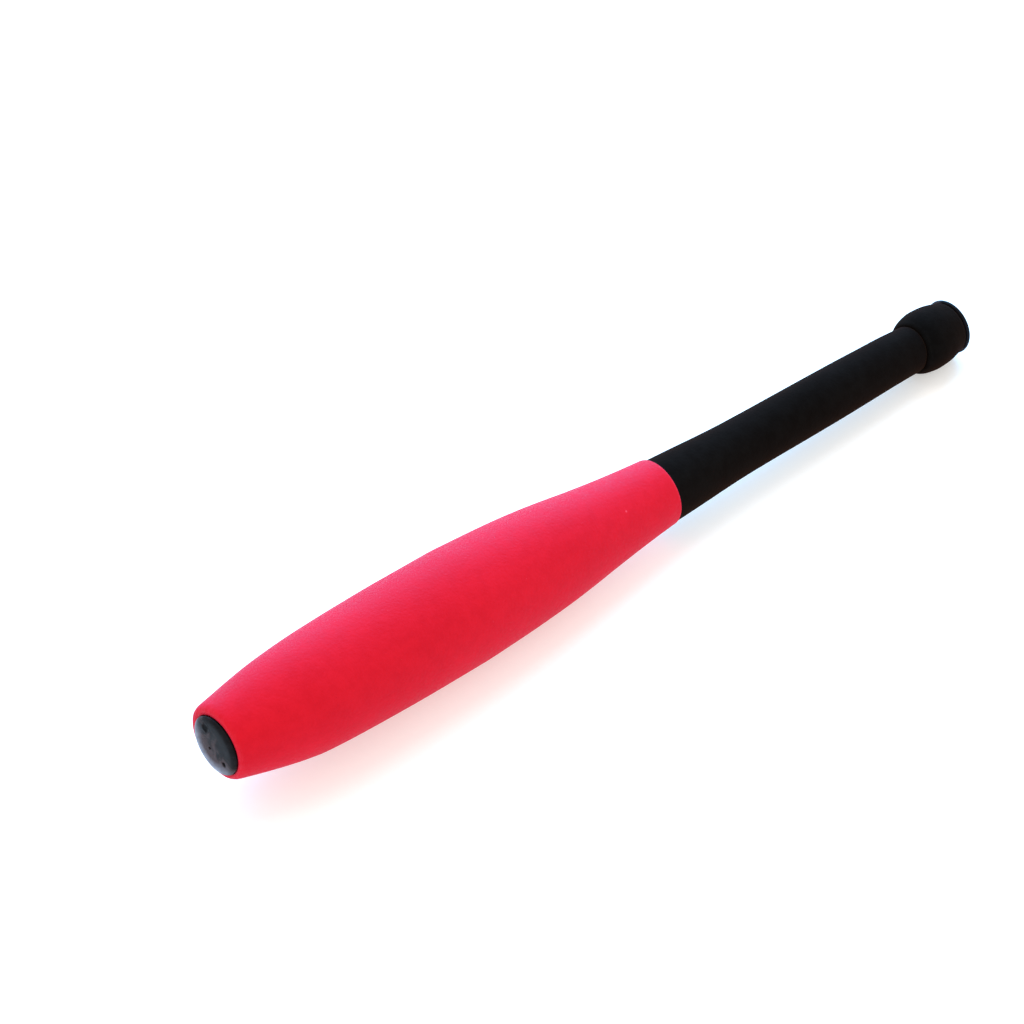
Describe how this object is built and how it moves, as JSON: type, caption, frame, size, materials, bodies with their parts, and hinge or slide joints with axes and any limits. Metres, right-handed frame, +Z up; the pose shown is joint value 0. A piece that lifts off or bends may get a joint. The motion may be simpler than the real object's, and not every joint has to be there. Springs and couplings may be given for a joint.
{
  "type": "juggling club",
  "caption": "Soft juggling club: a coloured foam body and a black foam handle and knob on a plastic core tube, with a flanged plug cap closing each end.",
  "frame": {"origin": "centre of the bounding box in X and Y, on the plane z = 0 that the club lies on", "axes": "+X along the club from its body end to its knob end, +Z up; the club rests on its body and its knob, so its own axis slopes down 2.22 degrees towards the knob"},
  "size_m": [0.4996, 0.06, 0.0614],
  "materials": {
    "red_foam": "closed-cell EVA foam, ground smooth, matte with a soft sheen and a very fine grain",
    "black_foam": "closed-cell EVA foam, ground smooth, matte",
    "cap_plastic": "moulded dark plastic, satin, scuffed and mottled",
    "tube_plastic": "extruded plastic tube, satin"
  },
  "bodies": {
    "root": {"core_tube": "tube_plastic", "body_foam": "red_foam", "handle_foam": "black_foam", "knob_foam": "black_foam", "body_end_cap": "cap_plastic", "knob_end_cap": "cap_plastic"}
  },
  "joints": []
}
